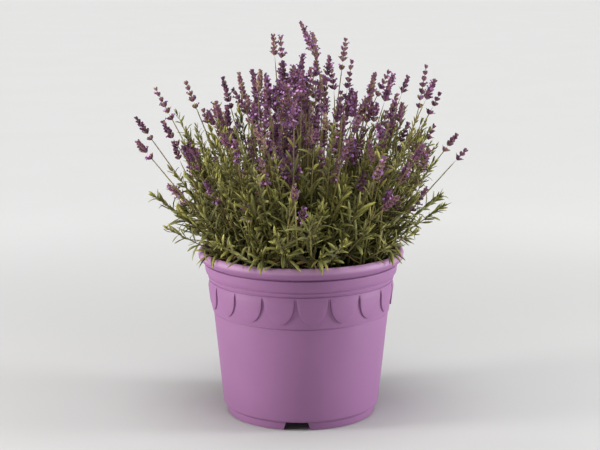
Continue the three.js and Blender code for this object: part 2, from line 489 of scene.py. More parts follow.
def arched(shape, base, out, inner, length, width, bend, twist):
    """Copies of a shape, one for each row: each runs from its base along out, bends towards inner by an
    angle, and twists by another."""
    inner = unit(inner - (inner * out).sum(1, keepdims=True) * out)
    side = np.cross(out, inner)
    x, y, t = shape.points.T
    bend = np.where(np.abs(bend) < 1e-3, 1e-3, bend)[:, None]
    angle = bend * t
    forward = length[:, None] * np.sin(angle) / bend
    rise = length[:, None] * (1 - np.cos(angle)) / bend
    turn = twist[:, None] * t
    across = width[:, None] * (x * np.cos(turn) - y * np.sin(turn))
    over = width[:, None] * (x * np.sin(turn) + y * np.cos(turn))
    forward = forward - np.sin(angle) * over
    rise = rise + np.cos(angle) * over
    return (
        base[:, None]
        + forward[..., None] * out[:, None]
        + rise[..., None] * inner[:, None]
        + across[..., None] * side[:, None]
    )


class Growth:
    """The copies that make one piece, put together as a single mesh."""

    def __init__(self):
        self.parts = []

    def add(self, shape, points, material, tint):
        self.parts.append((shape, points, material, np.asarray(tint, float)))

    def piece(self, name, materials):
        copies = sum(len(points) for _, points, _, _ in self.parts)
        cells = math.ceil(math.sqrt(copies))
        points, corners, sizes, worn, tints, runs, places = [], [], [], [], [], [], []
        start, number = 0, 0
        for shape, made, material, tint in self.parts:
            count, size = made.shape[:2]
            points.append(made.reshape(-1, 3))
            offset = start + np.arange(count)[:, None] * size
            corners.append((shape.corners[None] + offset).ravel())
            sizes.append(np.tile(shape.sizes, count))
            worn.append(np.full(count * len(shape.sizes), material))
            tints.append(np.repeat(tint, size))
            runs.append(np.tile(shape.run, count))
            cell = number + np.arange(count)
            corner = np.stack([cell % cells, cell // cells], 1)[:, None]
            places.append(((corner + 0.08 + 0.84 * shape.places) / cells).reshape(-1, 2))
            start += count * size
            number += count
        mesh = bpy.data.meshes.new(name)
        points, corners, sizes = map(np.concatenate, (points, corners, sizes))
        mesh.vertices.add(len(points))
        mesh.vertices.foreach_set("co", points.astype(np.float32).ravel())
        mesh.loops.add(len(corners))
        mesh.loops.foreach_set("vertex_index", corners.astype(np.int32))
        mesh.polygons.add(len(sizes))
        starts = np.concatenate([[0], np.cumsum(sizes)[:-1]])
        mesh.polygons.foreach_set("loop_start", starts.astype(np.int32))
        mesh.polygons.foreach_set(
            "material_index", np.concatenate(worn).astype(np.int32)
        )
        mesh.update(calc_edges=True)
        mesh.validate()
        for label, values in (("tint", tints), ("run", runs)):
            layer = mesh.attributes.new(label, "FLOAT", "POINT")
            layer.data.foreach_set("value", np.concatenate(values).astype(np.float32))
        layer = mesh.uv_layers.new(name="OFBake")
        layer.data.foreach_set("uv", np.concatenate(places).astype(np.float32).ravel())
        mesh.shade_smooth()
        for material in materials:
            mesh.materials.append(material)
        obj = bpy.data.objects.new(name, mesh)
        bpy.context.scene.collection.objects.link(obj)
        return obj


# ---------------------------------------------------------------- materials

FACTOR, ONE, TWO, MIXED = 0, 6, 7, 2  # a colour Mix node's inputs, and its output


def set_inputs(node, inputs):
    """Sets a node's inputs, by name or number, and links those that are given as another node's output."""
    for key, value in inputs.items():
        if isinstance(value, bpy.types.NodeSocket):
            node.id_data.links.new(value, node.inputs[key])
        else:
            node.inputs[key].default_value = value


def add_node(owner, kind, inputs=None, stops=(), **settings):
    """Adds a shader node to a material or world, with its settings, its inputs and, on a colour ramp, its
    stops of (place, colour)."""
    node = owner.node_tree.nodes.new("ShaderNode" + kind)
    for key, value in settings.items():
        setattr(node, key, value)
    if stops:
        elements = node.color_ramp.elements
        while len(elements) < len(stops):
            elements.new(0.5)
        for element, (place, colour) in zip(elements, stops, strict=True):
            element.position = place
            element.color = (*colour[:3], 1.0)
    set_inputs(node, inputs or {})
    return node


def new_material(name):
    material = bpy.data.materials.new(name)
    material.use_nodes = True
    return material, material.node_tree.nodes["Principled BSDF"]


def scaled(colour, factor):
    return (*(min(1.0, c * factor) for c in colour[:3]), 1.0)


def polypropylene(colour):
    """Injection-moulded polypropylene: an even satin skin with a very fine mould grain, slightly uneven
    in colour, with a painted highlight that makes the top of its lip paler, and a little dust and compost
    near the rim."""
    material, shader = new_material("moulded_polypropylene")
    where = add_node(material, "TexCoord").outputs["Object"]
    height = add_node(material, "SeparateXYZ", {"Vector": where}).outputs["Z"]
    cloud = add_node(
        material, "TexNoise", {"Vector": where, "Scale": 14.0, "Detail": 3.0, "Roughness": 0.5}
    ).outputs["Fac"]
    stops = [(0.3, scaled(colour, 0.95)), (0.7, scaled(colour, 1.04))]
    tone = add_node(material, "ValToRGB", {"Fac": cloud}, stops).outputs["Color"]
    # Painted highlight: the top of the lip, which faces the light from above, is painted paler.
    worn = add_node(
        material,
        "MapRange",
        {"Value": height, "From Min": 0.2105, "From Max": 0.2145, "To Min": 0.0, "To Max": 0.5},
        interpolation_type="SMOOTHSTEP",
    ).outputs["Result"]
    # Specks of dust and compost about 2 mm across, on the rim only.
    fleck = add_node(
        material, "TexNoise", {"Vector": where, "Scale": 420.0, "Detail": 2.0}
    ).outputs["Fac"]
    dirt = add_node(
        material,
        "MapRange",
        {"Value": fleck, "From Min": 0.66, "From Max": 0.8, "To Min": 0.0, "To Max": 0.35},
    ).outputs["Result"]
    near_rim = add_node(
        material,
        "MapRange",
        {"Value": height, "From Min": 0.205, "From Max": 0.22, "To Min": 0.0, "To Max": 1.0},
    ).outputs["Result"]
    dusty = add_node(
        material, "Math", {0: dirt, 1: near_rim}, operation="MULTIPLY"
    ).outputs["Value"]
    # The paler lip top is a painted highlight; the darker specks are dust and compost.
    for share, over in ((worn, "B892B2"), (dusty, "5A4650")):
        tone = add_node(
            material, "Mix", {FACTOR: share, ONE: tone, TWO: linear(over)}, data_type="RGBA"
        ).outputs[MIXED]
    gloss = add_node(
        material,
        "MapRange",
        {"Value": cloud, "From Min": 0.3, "From Max": 0.7, "To Min": 0.5, "To Max": 0.58},
    ).outputs["Result"]
    # Mould grain of about 0.4 mm, drawn at 0.8 mm so that it shows.
    grain = add_node(
        material, "TexNoise", {"Vector": where, "Scale": 1250.0, "Detail": 2.0}
    ).outputs["Fac"]
    bump = add_node(
        material, "Bump", {"Height": grain, "Strength": 0.12, "Distance": 0.1 * MM}
    ).outputs["Normal"]
    set_inputs(
        shader,
        {
            "Base Color": tone,
            "Roughness": gloss,
            "Normal": bump,
            "IOR": 1.49,
            "Specular IOR Level": 0.3,
        },
    )
    return material


def compost(colour):
    """Moist peat and bark compost: nearly black brown, matt, in crumbs of one to five millimetres."""
    material, shader = new_material("peat_compost")
    where = add_node(material, "TexCoord").outputs["Object"]
    crumb = add_node(
        material, "TexVoronoi", {"Vector": where, "Scale": 330.0}
    ).outputs["Distance"]
    cloud = add_node(
        material, "TexNoise", {"Vector": where, "Scale": 90.0, "Detail": 5.0}
    ).outputs["Fac"]
    stops = [(0.25, scaled(colour, 0.45)), (0.55, colour), (0.8, linear("4B3826"))]
    tone = add_node(material, "ValToRGB", {"Fac": cloud}, stops).outputs["Color"]
    bump = add_node(
        material, "Bump", {"Height": crumb, "Strength": 0.9, "Distance": 1.5 * MM}
    ).outputs["Normal"]
    set_inputs(shader, {"Base Color": tone, "Roughness": 0.95, "Normal": bump})
    return material


def studio_paper(colour):
    """Matt white paper with painted shade: it is painted greyer near the pot, so that it throws less light
    up onto it.
    """
    material, shader = new_material("studio_paper")
    where = add_node(material, "TexCoord").outputs["Object"]
    cloud = add_node(material, "TexNoise", {"Vector": where, "Scale": 3.0}).outputs["Fac"]
    stops = [(0.3, scaled(colour, 0.985)), (0.7, colour)]
    tone = add_node(material, "ValToRGB", {"Fac": cloud}, stops).outputs["Color"]
    reach = add_node(
        material, "VectorMath", {"Vector": where}, operation="LENGTH"
    ).outputs["Value"]
    # Painted shade: the paper is painted grey near the pot, fading to its white about 1.5 m away.
    near = add_node(
        material,
        "MapRange",
        {"Value": reach, "From Min": 0.1, "From Max": 1.5, "To Min": 1.0, "To Max": 0.0},
        interpolation_type="SMOOTHSTEP",
    ).outputs["Result"]
    tone = add_node(
        material, "Mix", {FACTOR: near, ONE: tone, TWO: linear("BDBDBC")}, data_type="RGBA"
    ).outputs[MIXED]
    set_inputs(shader, {"Base Color": tone, "Roughness": 0.9})
    return material


def tissue(name, stops, spread, roughness, sheen, grain):
    """Plant tissue: its colour runs along each copy, and each copy is a little lighter or darker, warmer
    or cooler than the next. A fine grain breaks up the shine."""
    material, shader = new_material(name)
    run = add_node(material, "Attribute", attribute_name="run").outputs["Fac"]
    tint = add_node(material, "Attribute", attribute_name="tint").outputs["Fac"]
    tone = add_node(material, "ValToRGB", {"Fac": run}, stops).outputs["Color"]
    own = add_node(material, "ValToRGB", {"Fac": tint}, spread).outputs["Color"]
    where = add_node(material, "TexCoord").outputs["Object"]
    # Veins and hairs about 1 mm apart.
    vein = add_node(
        material, "TexNoise", {"Vector": where, "Scale": grain, "Detail": 2.0}
    ).outputs["Fac"]
    dips = [(0.3, (0.78, 0.78, 0.78)), (0.7, (1.0, 1.0, 1.0))]
    shade = add_node(material, "ValToRGB", {"Fac": vein}, dips).outputs["Color"]
    for layer in (own, shade):
        tone = add_node(
            material,
            "Mix",
            {FACTOR: 1.0, ONE: tone, TWO: layer},
            data_type="RGBA",
            blend_type="MULTIPLY",
        ).outputs[MIXED]
    bump = add_node(
        material, "Bump", {"Height": vein, "Strength": 0.35, "Distance": 0.3 * MM}
    ).outputs["Normal"]
    set_inputs(
        shader,
        {
            "Base Color": tone,
            "Roughness": roughness,
            "Sheen Weight": sheen,
            "Specular IOR Level": 0.3,
            "Normal": bump,
        },
    )
    return material


def plant_materials(plant):
    """The plant's four tissues, in the order of the slots LEAF, STEM, CALYX and PETAL."""
    names = ("lavender_leaf", "lavender_stem", "lavender_calyx", "lavender_petal")
    if names[0] in bpy.data.materials:
        return [bpy.data.materials[name] for name in names]
    leaf, young = tuple(plant.leaf), tuple(plant.young_leaf)
    calyx, petal = tuple(plant.calyx), tuple(plant.petal)
    return [
        # Narrow leaf under a thin grey felt: soft, never glossy, yellower at its tip.
        tissue(
            names[LEAF],
            [(0.0, scaled(leaf, 0.62)), (0.45, leaf), (1.0, young)],
            # Each leaf's tint: brown when dry, dark for the painted shade deep in the bush, and lighter or
            # darker at random.
            [
                (0.0, (0.80, 0.44, 0.42)),
                (0.06, (0.42, 0.39, 0.32)),
                (0.4, (0.84, 0.84, 0.76)),
                (0.75, (1.12, 1.08, 0.86)),
                (1.0, (1.7, 1.62, 1.3)),
            ],
            roughness=0.6,
            sheen=0.06,
            grain=900.0,
        ),
        # Square green stem, browner and woody at its foot.
        tissue(
            names[STEM],
            [
                (0.0, linear("63532F")),
                (0.1, scaled(leaf, 1.15)),
                (0.5, linear("8F8650")),
                (1.0, linear("8A7A56")),
            ],
            [(0.0, (0.62, 0.62, 0.55)), (1.0, (1.3, 1.25, 1.05))],
            roughness=0.55,
            sheen=0.1,
            grain=700.0,
        ),
        # Downy ribbed calyx: olive at its base, dark violet at its mouth, matt.
        tissue(
            names[CALYX],
            [
                (0.0, linear("7A6A56")),
                (0.25, scaled(calyx, 1.2)),
                (0.75, calyx),
                (1.0, scaled(calyx, 0.55)),
            ],
            [
                (0.0, (0.36, 0.27, 0.42)),
                (0.36, (0.98, 0.88, 1.06)),
                (0.6, (1.15, 1.2, 1.0)),
                (0.8, (1.25, 1.6, 0.9)),
                (1.0, (1.8, 3.2, 1.25)),
            ],
            roughness=0.85,
            sheen=0.12,
            grain=1100.0,
        ),
        # Thin open petals, lighter at their edges.
        tissue(
            names[PETAL],
            [(0.0, scaled(petal, 0.4)), (0.7, petal), (1.0, scaled(petal, 1.3))],
            [
                (0.0, (0.34, 0.26, 0.42)),
                (0.5, (0.9, 0.85, 0.95)),
                (0.8, (1.5, 1.5, 1.5)),
                (1.0, (2.6, 2.9, 2.2)),
            ],
            roughness=0.65,
            sheen=0.1,
            grain=800.0,
        ),
    ]




# ---------------------------------------------------------------- the plant's small shapes


def leaf_shape():
    """A narrow leaf of unit length and half width, folded along its midrib, blunt at its tip."""
    obj = loft(
        "leaf_master",
        4,
        [
            (0.0, 0.22, 0.15),
            (0.2, 0.6, 0.14),
            (0.45, 1.0, 0.13),
            (0.7, 0.88, 0.12),
            (0.9, 0.45, 0.1),
            (1.0, 0.07, 0.05),
        ],
    )
    for vertex in obj.data.vertices:
        vertex.co.y += 0.3 * abs(vertex.co.x) - 0.12
    return Shape(obj)


def stem_shape():
    """A straight stalk of unit length and radius."""
    steps = 14
    return Shape(
        loft("stem_master", 5, [(i / steps, 1.0, 1.0) for i in range(steps + 1)])
    )


def calyx_shape():
    """The tube that holds one flower, of unit length and half width."""
    return Shape(
        loft(
            "calyx_master",
            5,
            [
                (0.0, 0.42, 0.42),
                (0.35, 0.92, 0.92),
                (0.75, 1.0, 1.0),
                (0.97, 0.72, 0.72),
                (1.0, 0.3, 0.3),
            ],
        )
    )


def petal_shape():
    """One open flower: a short tube that spreads into five lobes, with a hollow throat."""
    obj = loft(
        "petal_master",
        10,
        [
            (0.0, 0.2, 0.2),
            (0.55, 0.26, 0.26),
            (0.8, 0.62, 0.62),
            (1.0, 1.0, 1.0),
            (0.86, 0.5, 0.5),
            (0.6, 0.18, 0.18),
        ],
    )
    for vertex in obj.data.vertices:
        radius = math.hypot(vertex.co.x, vertex.co.y)
        if radius > 0.4:
            angle = math.atan2(vertex.co.y, vertex.co.x)
            lobe = 0.5 + 0.5 * math.cos(5 * angle)
            size = 1 - (0.55 * (1 - lobe)) * min(1, (radius - 0.4) / 0.5)
            vertex.co.x *= size
            vertex.co.y *= size
            vertex.co.z -= 0.18 * lobe * radius
    return Shape(obj)


class Shapes:
    """The small shapes, modelled once."""

    made = None

    def __init__(self):
        self.leaf = leaf_shape()
        self.stem = stem_shape()
        self.calyx = calyx_shape()
        self.petal = petal_shape()

    @classmethod
    def get(cls):
        if cls.made is None:
            cls.made = cls()
        return cls.made


# ---------------------------------------------------------------- stems, heads and leaves


class Line:
    """The line of one stem, from its foot in the soil to the base of its head or to its tip."""

    def __init__(self, foot, tip, head=0.0, aim=None, sway=(0.0, 0.0)):
        foot, tip = np.array(foot, float), np.array(tip, float)
        rise = tip[2] - foot[2]
        across = np.array([tip[0] - foot[0], tip[1] - foot[1], 0.0])
        self.aim = unit(UP + across * 1.1 / rise) if aim is None else unit(aim)
        end = tip - self.aim * head
        first = foot + across * 0.26 + UP * rise * 0.34
        second = end - self.aim * rise * 0.3
        self.controls = np.array([foot, first, second, end])
        self.sway = np.array([*sway, 0.0])
        self.tip, self.end = tip, end
        self.length = np.linalg.norm(end - foot) * 1.03

    def at(self, t):
        t = np.asarray(t, float)[..., None]
        weights = ((1 - t) ** 3, 3 * (1 - t) ** 2 * t, 3 * (1 - t) * t * t, t**3)
        place = sum(w * c for w, c in zip(weights, self.controls, strict=True))
        return place + self.sway * (t * (1 - t)) ** 2 * 16

    def along(self, t):
        t = np.clip(np.asarray(t, float), 0.001, 0.999)
        return unit(self.at(t + 0.001) - self.at(t - 0.001))


def sideways(along, turn):
    """Unit directions square to the given ones, turned round them by an angle."""
    start = np.where(np.abs(along[:, :1]) < 0.8, [[1.0, 0, 0]], [[0, 1.0, 0]])
    one = unit(start - (start * along).sum(1, keepdims=True) * along)
    two = np.cross(along, one)
    return np.cos(turn)[:, None] * one + np.sin(turn)[:, None] * two


def grow_stem(growth, line, low, high, tint):
    """The stalk along a line, from one radius at its foot to another at its end."""
    shape = Shapes.get().stem
    x, y, t = shape.points.T
    place, along = line.at(t), line.along(t)
    one = sideways(along, np.zeros(len(t)))
    two = np.cross(along, one)
    radius = low + (high - low) * t**0.8
    points = place + (radius * x)[:, None] * one + (radius * y)[:, None] * two
    growth.add(shape, points[None], STEM, [tint])


def clear_of_pot(points):
    """Leaves kept off the pot: one that starts above the rim lies on it or hangs over its lip, and one
    that starts lower stops at the wall. PRESSED is what stays of a leaf's depth there."""
    radius = np.hypot(points[..., 0], points[..., 1])
    height = points[..., 2]
    rest = POT_TOP + 2 * MM - LIP_SLOPE * np.maximum(0, radius - LIP_RADIUS)
    over = (radius > WALL_RADIUS) & (height < rest)
    starts_above = (points[:, :1, 2] > RIM_START) & over
    points[..., 2] = np.where(starts_above, rest + PRESSED * (height - rest), height)
    stopped = (WALL_RADIUS - 1 * MM + PRESSED * (radius - WALL_RADIUS)) / radius
    points[..., :2] *= np.where(over & ~starts_above, stopped, 1.0)[..., None]
    return points


def grow_leaves(growth, base, along, turn, lift, length, width, bend, tint, rng):
    """Leaves from their bases: lift is the angle between each leaf and the stem's direction."""
    side = sideways(along, turn)
    out = np.cos(lift)[:, None] * along + np.sin(lift)[:, None] * side
    twist = rng.normal(0, 0.5, len(base))
    points = arched(
        Shapes.get().leaf, base, out, along - side * 0.3, length, width / 2, bend, twist
    )
    growth.add(Shapes.get().leaf, clear_of_pot(points), LEAF, np.clip(tint, 0, 1))


def grow_head(growth, line, length, plant, rng, openness, tone, stray):
    """A flower head: whorls of calyxes round the end of the stem, with open flowers among them and, a
    little lower, often one more whorl."""
    size = plant.calyx_length
    # A third of the heads are loose, with gaps between their whorls.
    loose = 1.35 if rng.random() < 0.33 else 1.0
    count = max(3, round(length / (WHORL_SPACING * loose * rng.uniform(0.9, 1.3))))
    heights = list((np.linspace(0, 1, count) ** 0.95) * (length - 0.8 * size))
    if stray:
        heights.insert(0, -stray)

    def middle(height):
        """A whorl's middle and the stem's direction there, over or under the head's base."""
        if height >= 0:
            return line.end + line.aim * height, line.aim
        t = 1 + height / line.length
        return line.at(t), line.along(t)

    calyxes = []
    for height in heights:
        share = max(0.0, height / length)
        many = rng.integers(5, 8) if height < 0 else round(8 - 2.5 * share)
        centre, way = middle(height)
        start = rng.uniform(0, TURN)
        for k in range(many):
            row = (
                centre + way * rng.normal(0, 0.5 * MM),
                way,
                start + k * TURN / many + rng.normal(0, 0.12),
                0.74 - 0.46 * share**2 + rng.normal(0, 0.1),
                (1.0 - 0.36 * share**2) * rng.uniform(0.85, 1.12),
                rng.random() < openness * (1.15 - share),
            )
            calyxes.append(row)
    base, along, turn, lift, scale, is_open = map(np.array, zip(*calyxes, strict=True))
    side = sideways(along, turn)
    out = np.cos(lift)[:, None] * along + np.sin(lift)[:, None] * side
    base = base + side * 0.7 * MM
    tube = size * scale
    bend = rng.uniform(0.1, 0.5, len(base))
    straight = np.zeros(len(base))
    calyx = Shapes.get().calyx
    points = arched(calyx, base, out, along, tube, size * 0.235 * scale, bend, straight)
    tint = np.clip(rng.normal(tone, 0.2, len(base)), 0, 1)
    growth.add(calyx, points, CALYX, tint)
    n = int(is_open.sum())
    if n:
        mouth = base[is_open] + out[is_open] * (tube[is_open] * 0.8)[:, None]
        way = unit(out[is_open] + side[is_open] * 0.35)
        reach = rng.uniform(0.8, 1.1, n) * size * 0.6
        spread = rng.uniform(0.7, 1.1, n) * size * 0.4
        petal = Shapes.get().petal
        points = arched(
            petal, mouth, way, along[is_open], reach, spread, np.full(n, 0.2), np.zeros(n)
        )
        growth.add(petal, points, PETAL, rng.uniform(0, 1, n))
    # Two small bracts under each whorl.
    base, along = map(np.array, zip(*(middle(h) for h in heights), strict=True))
    turn = np.add.outer(rng.uniform(0, TURN, len(heights)), [0, math.pi]).ravel()
    heights = np.repeat(heights, 2)
    share = np.maximum(0, heights / length)
    leafy = np.where(heights <= 0, 1.3, 0.85) * (1 - 0.5 * share)
    n = len(heights)
    grow_leaves(
        growth,
        np.repeat(base, 2, 0),
        np.repeat(along, 2, 0),
        turn,
        np.full(n, 1.0),
        leafy * 7 * MM,
        leafy * 2.8 * MM,
        rng.uniform(0.0, 0.5, n),
        rng.uniform(0.2, 0.7, n),
        rng,
    )


def grow_flower_stem(growth, line, head, plant, rng, openness, tone, stray, leafy):
    """One flower stem: a thin square stalk, a few long leaves low on it, and its head."""
    tint = rng.uniform(0.2, 1.0)
    grow_stem(growth, line, 1.3 * MM, 0.65 * MM, tint)
    # The stalk goes on straight inside the head.
    stalk = Line(line.end, line.end + line.aim * head)
    stalk.controls = np.linspace(line.end, line.end + line.aim * head * 0.94, 4)
    grow_stem(growth, stalk, 0.62 * MM, 0.4 * MM, tint)
    gap = rng.uniform(9, 15) * MM if stray else 0
    grow_head(growth, line, head, plant, rng, openness, tone, gap)
    places, turns = [], []
    t, turn = rng.uniform(0.16, 0.24), rng.uniform(0, TURN)
    top = rng.uniform(*leafy)
    while t < top:
        places += [t, t]
        turns += [turn, turn + math.pi]
        turn += math.pi / 2 + rng.normal(0, 0.2)
        t += rng.uniform(16, 28) * MM / line.length
    places, turns = np.array(places), np.array(turns)
    n = len(places)
    length = plant.leaf_length * rng.uniform(0.8, 1.25, n) * (1.2 - 0.62 * places)
    grow_leaves(
        growth,
        line.at(places),
        line.along(places),
        turns,
        rng.normal(0.6, 0.2, n),
        length,
        plant.leaf_width * rng.uniform(0.65, 0.95, n),
        rng.normal(-0.35, 0.5, n),
        rng.normal(0.55, 0.2, n),
        rng,
    )


def grow_shoot(growth, line, plant, rng, shade=0.45, size=1.0, droop=0.0, dry=0.2):
    """One leafy shoot: crossed pairs of leaves close together, small leaves between them and the stem,
    and a tuft at the tip. Its lowest leaves are dry in part."""
    thick = 0.45 + 0.55 * size
    grow_stem(growth, line, 1.5 * MM * thick, 0.75 * MM * thick, rng.uniform(0.1, 0.8))
    spacing = rng.uniform(10.0, 14.0) * MM / line.length * (0.55 + 0.45 * size)
    broad = rng.uniform(0.85, 1.25)
    leaves = []
    t, turn = rng.uniform(0.2, 0.38), rng.uniform(0, TURN)
    while t < 0.99:
        for side in (turn, turn + math.pi):
            grown = (
                t,
                side + rng.normal(0, 0.2),
                rng.uniform(0.7, 1.2) * (1.05 - 0.4 * t**3),
                rng.normal(0.95 - 0.5 * t**2, 0.25),
                rng.normal(-0.75 + 0.7 * t - droop, 0.55),
            )
            leaves.append(grown)
            if rng.random() < 0.5:
                small = (
                    t + 0.006,
                    side + rng.normal(0, 0.5),
                    rng.uniform(0.28, 0.5),
                    rng.normal(0.55, 0.15),
                    rng.normal(0.1, 0.3),
                )
                leaves.append(small)
        turn += math.pi / 2 + rng.normal(0, 0.2)
        t += spacing * (1.15 - 0.5 * t)
    for k in range(5):
        tuft = (
            0.995,
            turn + k * TURN / 5,
            rng.uniform(0.3, 0.6),
            rng.uniform(0.08, 0.38),
            rng.normal(0.1, 0.2),
        )
        leaves.append(tuft)
    places, turns, sizes, lifts, bends = np.array(leaves).T
    n = len(places)
    # Painted shade: leaves lower on the shoot, deeper in the bush, are painted darker; the rest of each
    # leaf's tint differs at random.
    tint = np.maximum(0.07, rng.normal(shade, 0.2, n) + 0.55 * (places - 0.65))
    withered = ((places < 0.4) | (dry > 0.5)) & (rng.random(n) < dry)
    tint[withered] = 0.0
    width = plant.leaf_width * broad * (0.4 + 0.6 * size)
    grow_leaves(
        growth,
        line.at(places),
        line.along(places),
        turns,
        np.clip(lifts, 0.1, 1.5),
        plant.leaf_length * sizes * size,
        width * np.clip(sizes * 1.1, 0.45, 1.0) * rng.uniform(0.8, 1.15, n),
        bends,
        tint,
        rng,
    )


def grow_hanging_leaves(growth, line, plant, rng):
    """Leaves at a shoot's tip that bend down over the pot's rim."""
    n = 3
    way = math.atan2(line.tip[1], line.tip[0]) + rng.normal(0, 0.5, n)
    out = unit(np.stack([np.cos(way), np.sin(way), rng.uniform(-0.1, 0.3, n)], 1))
    leaf = Shapes.get().leaf
    points = arched(
        leaf,
        line.at(rng.uniform(0.8, 0.98, n)),
        out,
        np.tile(-UP, (n, 1)),
        plant.leaf_length * rng.uniform(0.75, 1.1, n),
        plant.leaf_width * rng.uniform(0.45, 0.6, n),
        rng.uniform(0.8, 1.5, n),
        rng.normal(0, 0.4, n),
    )
    growth.add(leaf, clear_of_pot(points), LEAF, rng.uniform(0.3, 0.7, n))


def cad_points(node):
    return np.array([v.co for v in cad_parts[node].data.vertices])


def cad_foot(points):
    """The middle of a stem's foot in the soil."""
    low = points[points[:, 2].argmin()]
    near = points[np.linalg.norm(points - low, axis=1) < 4 * MM]
    return (near.max(0) + near.min(0)) / 2


def head_of(points):
    """A CAD flower stem's tip, the direction of its head, and the head's length, which ends where the
    bulges round the stalk stop or leave a wide gap."""
    stalk, gap, longest = 2.2 * MM, 11 * MM, 48 * MM
    tip = points[points[:, 2].argmax()]
    distance = np.linalg.norm(points - tip, axis=1)
    near = points[(distance > 1 * MM) & (distance < 16 * MM)]
    aim = unit(tip - near.mean(0))
    down = (tip - points) @ aim
    off = np.linalg.norm(tip - points - down[:, None] * aim, axis=1)
    bulges = np.sort(down[(off > stalk) & (down < 55 * MM)])
    gaps = np.flatnonzero(np.diff(bulges) > gap)
    last = bulges[gaps[0]] if len(gaps) else bulges[-1]
    return tip, aim, min(last + 4 * MM, longest)


def soil_height(x, y):
    """The soil's surface, which sinks a little from the middle to the wall."""
    share = min(1.0, math.hypot(x, y) / SOIL_RADIUS)
    return SOIL_TOP - SOIL_DISH * share * share


def roughen(soil, low, rng):
    """Raises and lowers the soil's surface over a height, in lumps about 20 mm and 7 mm across that die
    out at the wall."""
    points = np.array([v.co for v in soil.data.vertices])
    waves = rng.normal(0, 1, (24, 2)) * np.repeat([[300.0], [900.0]], 12, 0)
    phases = rng.uniform(0, TURN, 24)
    size = np.repeat([0.55 * MM, 0.32 * MM], 12)
    lump = (np.sin(points[:, :2] @ waves.T + phases) * size).sum(1)
    wall_distance = 121.2 * MM - np.hypot(points[:, 0], points[:, 1])
    lump *= np.clip(wall_distance / (6 * MM), 0, 1)
    points[:, 2] += np.where(points[:, 2] > low, lump - 1.0 * MM, 0)
    soil.data.vertices.foreach_set("co", points.astype(np.float32).ravel())


def scattered_crumbs(count, material, rng):
    """Crumbs of compost, each a knocked and stretched ball, spread over the soil towards the wall."""
    start_fresh()
    bpy.ops.mesh.primitive_ico_sphere_add(subdivisions=1, radius=1)
    crumb = Shape(bpy.context.object)
    angle = rng.uniform(0, TURN, count)
    ring = 119.5 * MM * rng.uniform(0, 1, count) ** 0.4
    x, y = ring * np.cos(angle), ring * np.sin(angle)
    z = [soil_height(*place) - rng.uniform(0, 1.2 * MM) for place in zip(x, y, strict=True)]
    radius = rng.uniform(0.7, 2.6, (count, 1, 1)) * MM
    stretch = rng.uniform(0.5, 1.5, (count, 1, 3))
    knocks = rng.uniform(0.75, 1.25, (count, len(crumb.points), 1))
    points = np.column_stack([x, y, z])[:, None] + crumb.points * knocks * stretch * radius
    growth = Growth()
    growth.add(crumb, points, 0, rng.uniform(0, 1, count))
    return growth.piece("crumbs", [material])


def sideways_angle(rng):
    """A direction round the bush, which is a little fuller to its left and right."""
    if rng.random() < 0.45:
        return rng.choice([0.0, math.pi]) + rng.normal(0, 0.5)
    return rng.uniform(0, TURN)


def groups_of(items, count):
    """A sorted list in equal runs, each with its number from 1."""
    for i in range(count):
        yield i + 1, items[i * len(items) // count : (i + 1) * len(items) // count]


def inner_line(tip, share, rng, head=0.0, lean=0.0):
    """The line of an inner stem, which fans out from the bush's crown."""
    x, y = tip[0] * share + rng.normal(0, 4 * MM), tip[1] * share + rng.normal(0, 4 * MM)
    foot = (x, y, soil_height(x, y) - 8 * MM)
    sway = rng.normal(0, 3 * MM, 2)
    out = np.array([tip[0] - x, tip[1] - y, 0.0]) * 1.1 / (tip[2] - foot[2])
    aim = UP + out + np.array([*rng.normal(0, lean, 2), 0.0])
    return Line(foot, tip, head, aim, sway)


# ---------------------------------------------------------------- operators


class LAVENDER_OT_pot(bpy.types.Operator):
    """Make the pot: a spun wall with its rim, band and foot ring, scallops, foot notches and drain holes"""

    bl_idname = "lavender.pot"
    bl_label = "Pot"

    def execute(self, context):
        settings = context.scene.lavender_pot
        pot = spun("pot_wall", rounded(POT_OUTSIDE + POT_INSIDE), settings.steps)
        cut(pot, scallop_pads(settings.steps, settings.scallop_proud / MM), "UNION")
        cut(pot, foot_notches(), "DIFFERENCE")
        cut(pot, drain_holes(), "DIFFERENCE")
        smooth(pot, 35)
        pot.data.materials.clear()
        pot.data.materials.append(polypropylene(tuple(settings.plastic)))
        settle(pot, "scalloped_pot", "pot_plastic", "pot")
        return {"FINISHED"}


class LAVENDER_OT_soil(bpy.types.Operator):
    """Make the compost that fills the pot, with a crumbly top"""

    bl_idname = "lavender.soil"
    bl_label = "Soil"

    def execute(self, context):
        settings = context.scene.lavender_pot
        rng = np.random.default_rng(11)
        outline = [
            (0.0, 18.5),
            (100.2, 18.5),
            (113.6, 138.8),
            (118.3, 181.5),
            (121.5, 199.0),
            (121.7, 203.0),
        ]
        outline += [(r, soil_height(r * MM, 0) / MM) for r in range(120, -1, -4)]
        soil = spun("soil_body", outline, 96)
        roughen(soil, 202.5 * MM, rng)
        material = compost(tuple(settings.soil))
        crumbs = scattered_crumbs(900, material, rng)
        soil.data.materials.clear()
        soil.data.materials.append(material)
        start_fresh()
        crumbs.select_set(True)
        soil.select_set(True)
        context.view_layer.objects.active = soil
        bpy.ops.object.join()
        for layer in list(soil.data.uv_layers):
            soil.data.uv_layers.remove(layer)
        smooth(soil, 60)
        settle(soil, "compost", "potting_soil", "potting_soil")
        return {"FINISHED"}


